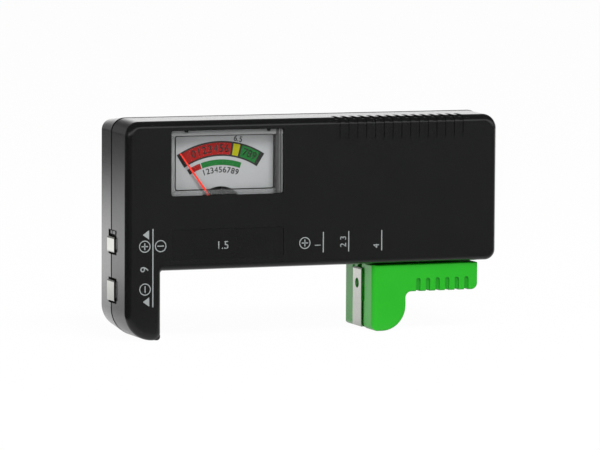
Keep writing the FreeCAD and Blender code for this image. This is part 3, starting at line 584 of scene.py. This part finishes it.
dial_numbers = []
for n in red_numbers:
    angle = red_number_at + red_number_step * n
    dial_numbers.append(arc_number(str(n), colour_number_r, angle, colour_number_h, red_number_weight))
dial_numbers.append(arc_number("6.5", yellow_number_r, yellow_number_at, yellow_number_h))
for n in green_numbers:
    angle = green_number_at + green_number_step * (n - green_numbers[0])
    dial_numbers.append(arc_number(str(n), colour_number_r, angle, colour_number_h))
for n in low_numbers:
    angle = low_number_step * (n - low_number_middle)
    dial_numbers.append(arc_number(str(n), low_number_r, angle, low_number_h))
print_on("dial_numbers", dial_numbers, number_y, black_ink, dial_ink_h)


# Pointer: an aluminium needle on the coil's hub, dipped in bright red paint.
# It swings just in front of the dial, and rests at the left end of the scale.
dress(mottled("red_pointer_paint", patch=0.8 * mm, dark=(0.80, 0.022, 0.010), light=(0.95, 0.040, 0.018),
              roughness=(0.3, 0.38), bump=0.004 * mm, strength=0.3, IOR=1.5), "pointer")


# Window: a clear cap moulded in polystyrene, pressed into the front cover from inside.
# It is clear over the dial; round the rim, where its skirts run back into the case, its grey is painted light
# and shade.
# The rim is painted pale, palest on top, with a pale band along the foot; the right rim is painted shade,
# with one painted highlight line down it.
rim_left, rim_right, rim_low, rim_high = -41.05, -11.35, 41.0, 56.1
shade_end = -9.75
glint_x0, glint_x1 = -10.42, -10.12
rim_fade, shade_fade, glint_fade = 0.12, 0.15, 0.1
clear_alpha, rim_alpha, foot_alpha, shade_alpha = 0.01, 0.6, 0.25, 0.2
wave_share, top_light_share, glint_share = 0.6, 0.65, 0.8
# Colours of the painted light on the rim and of the painted shade on the right rim
rim_lit_dim, rim_lit_bright = (0.15, 0.155, 0.155), (0.27, 0.275, 0.275)
rim_shade_dark, rim_shade_light = (0.018, 0.018, 0.018), (0.115, 0.115, 0.115)
window_rough, wave_rough = 0.03, 0.03


def clear_skin(wire):
    wave = noise(wire, grain=6 * mm)
    streak = noise(wire, grain=0.35 * mm, stretch=(1.0, 1.0, 0.02))
    x, z = split(wire, place_on(wire), "XZ")
    # Painted light and shade: the top rim is lightened, the foot adds a pale band, the right rim is darkened,
    # and the glint is a painted highlight line
    lintel = rises(wire, z, rim_high, rim_fade)
    foot = 1 - rises(wire, z, rim_low, rim_fade)
    clear = between(wire, x, rim_left, rim_right, rim_fade) * (1 - lintel)
    painted_glint = between(wire, x, glint_x0, glint_x1, glint_fade)
    shaded = between(wire, x, rim_right, shade_end, shade_fade) * (1 - glint_share * painted_glint)
    rim_painted_light = blend_colours(wire, wave_share * wave + top_light_share * lintel, rim_lit_dim, rim_lit_bright)
    rim_painted_shade = blend_colours(wire, streak, rim_shade_dark, rim_shade_light)
    return {
        "Base Color": mix_colours(wire, shaded, rim_painted_light, rim_painted_shade),
        "Roughness": window_rough + wave_rough * wave,
        "Alpha": clear_alpha + rim_alpha * (1 - clear) + foot_alpha * foot * clear + shade_alpha * shaded,
        "Normal": relief(wire, wave, depth=0.01 * mm, strength=0.15),
    }


dress(make_finish("clear_styrene", clear_skin, IOR=1.59, Specular_IOR_Level=0.2), "meter_window")


# Contacts: nickel-plated spring strip, folded over at its ends and pressed into the plastic.
# Rolling leaves faint lines along the strip, and batteries rub it in places.
strip_rough, lines_rough, rub_rough = 0.10, 0.05, 0.05


def nickel_strip(name, dull, bright):
    def vary(wire):
        lines = noise(wire, grain=0.05 * mm, stretch=(1.0, 1.0, 0.05))
        rub = noise(wire, grain=1.2 * mm, detail=3.0)
        return {
            "Base Color": blend_colours(wire, rub, dull, bright),
            "Roughness": strip_rough + lines_rough * lines + rub_rough * rub,
            "Normal": relief(wire, lines, depth=0.003 * mm, strength=0.35),
        }
    return make_finish(name, vary, Metallic=1.0)


dress(nickel_strip("bright_nickel", dull=(0.86, 0.86, 0.81), bright=(0.95, 0.95, 0.90)),
      "positive_contact_9v", "negative_contact_9v", "negative_contact_1v5", "contact_rail", "wiper_spring")
# The slider's contact is the same nickel made darker: painted shade, for the shaded table under the housing
# that it mirrors
dress(nickel_strip("shaded_nickel", dull=(0.62, 0.63, 0.58), bright=(0.72, 0.73, 0.68)), "slider_contact")


# Slider: one bright green polypropylene moulding that runs under the housing on a neck and a runner.
# Its front and back are ribbed for the thumb, with painted shade, a deeper green, in the grooves,
# and it has the slight waxy gloss of that plastic, worn off on top.
grip_x0, grip_x1, grip_z0, grip_z1, grip_floor = 31.0, 47.5, 11.0, 14.8, 10.6
grip_fade, grip_floor_fade = 0.1, 0.2
slider_roof, roof_fade = 18.4, 0.05
leaf_dark, leaf_light, groove_shade_green = (0.007, 0.374, 0.005), (0.010, 0.41, 0.008), (0.004, 0.295, 0.006, 1)
leaf_rough, leaf_flow_rough, leaf_grain_rough, roof_rough = 0.32, 0.05, 0.05, 0.3
leaf_coat = 0.65


def leaf_green(wire):
    flow = noise(wire, grain=7 * mm)
    grain = noise(wire, grain=0.2 * mm, detail=3.0)
    x, y, z = split(wire, place_on(wire))
    # Painted shade: the grooves of the grip are coloured a deeper green
    groove_shade = between(wire, x, grip_x0, grip_x1, grip_fade) * between(wire, z, grip_z0, grip_z1, grip_fade)
    groove_shade = groove_shade * between(wire, y, -grip_floor, grip_floor, grip_floor_fade)
    roof = rises(wire, z, slider_roof, roof_fade)
    plain = blend_colours(wire, flow, leaf_dark, leaf_light)
    return {
        "Base Color": mix_colours(wire, groove_shade, plain, groove_shade_green),
        "Roughness": leaf_rough + leaf_flow_rough * flow + leaf_grain_rough * grain + roof_rough * roof,
        "Coat Weight": leaf_coat - leaf_coat * roof,
        "Normal": relief(wire, grain, depth=0.005 * mm, strength=0.5),
    }


dress(make_finish("green_polypropylene", leaf_green, IOR=1.5, Coat_Roughness=0.2), "slider_body")
dress(mottled("slick_black_acetal", patch=3 * mm, dark=(0.010, 0.010, 0.010), light=(0.016, 0.016, 0.016),
              roughness=(0.28, 0.36), bump=0.01 * mm, strength=0.2, IOR=1.48), "slider_runner")


# Screws: small zinc-plated steel screws for the case, the meter, the board and the slider.
# The plating is bluish and a little blotchy.
dress(mottled("zinc_plated_steel", patch=0.7 * mm, detail=3.0, dark=(0.46, 0.47, 0.49),
              light=(0.60, 0.61, 0.63), roughness=(0.3, 0.44), bump=0.006 * mm, strength=0.3, Metallic=1.0),
      "case_screws", "meter_screws", "dial_screws", "bridge_screws", "board_screws", "slider_screws")


# Meter: a moulded tray that holds a soft-iron ring and core, with the coil turning between them.
# The pivots, the springs and the terminals are brass, and the bridge and the bracket are blackened.
dress(mottled("grey_meter_tray", patch=4 * mm, dark=(0.30, 0.31, 0.31), light=(0.36, 0.37, 0.37),
              roughness=(0.45, 0.55), bump=0.01 * mm, strength=0.3, IOR=1.5), "meter_base")
dress(mottled("soft_iron", patch=1.0 * mm, detail=4.0, dark=(0.30, 0.29, 0.28), light=(0.42, 0.41, 0.40),
              roughness=(0.4, 0.56), bump=0.01 * mm, strength=0.4, Metallic=1.0), "yoke_ring", "magnet_core")
dress(mottled("bright_brass", patch=0.6 * mm, detail=3.0, dark=(0.66, 0.46, 0.17), light=(0.78, 0.57, 0.24),
              roughness=(0.26, 0.38), bump=0.005 * mm, strength=0.3, Metallic=1.0),
      "jewel_screws", "pivot_staffs", "hairsprings", "meter_terminals")
dress(mottled("black_oxide", patch=1.2 * mm, detail=3.0, dark=(0.020, 0.020, 0.021),
              light=(0.045, 0.045, 0.046), roughness=(0.4, 0.52), bump=0.005 * mm, strength=0.3, IOR=1.5),
      "meter_bridge", "core_bracket")
dress(mottled("wound_copper", patch=0.09 * mm, stretch=(1.0, 0.06, 1.0), dark=(0.42, 0.13, 0.05),
              light=(0.66, 0.25, 0.10), roughness=(0.3, 0.42), bump=0.02 * mm, strength=0.6, Metallic=0.7),
      "moving_coil")


# Board: a small brown laminate card with the test loads soldered to it, and the leads to the contacts.
# The loads are lacquered bodies, and the leads are stranded wire in soft red and black sleeves.
sleeve_dark_share = 0.8


def sleeve(name, colour):
    darker = tuple(sleeve_dark_share * c for c in colour)
    return mottled(name, patch=1.5 * mm, dark=darker, light=colour, roughness=(0.4, 0.5),
                   bump=0.008 * mm, strength=0.3, IOR=1.5)


dress(mottled("brown_laminate", patch=0.3 * mm, detail=4.0, stretch=(1.0, 1.0, 0.3), dark=(0.26, 0.15, 0.06),
              light=(0.36, 0.22, 0.09), roughness=(0.45, 0.57), bump=0.008 * mm, strength=0.4, IOR=1.5),
      "circuit_board")
dress(mottled("beige_lacquer", patch=0.8 * mm, dark=(0.48, 0.36, 0.22), light=(0.58, 0.45, 0.29),
              roughness=(0.3, 0.4), bump=0.01 * mm, strength=0.3, IOR=1.5), "load_resistors")
dress(sleeve("red_sleeve", (0.55, 0.02, 0.015)), "lead_9v_positive", "lead_rail")
dress(sleeve("black_sleeve", (0.02, 0.02, 0.02)), "lead_9v_negative", "lead_1v5_negative")
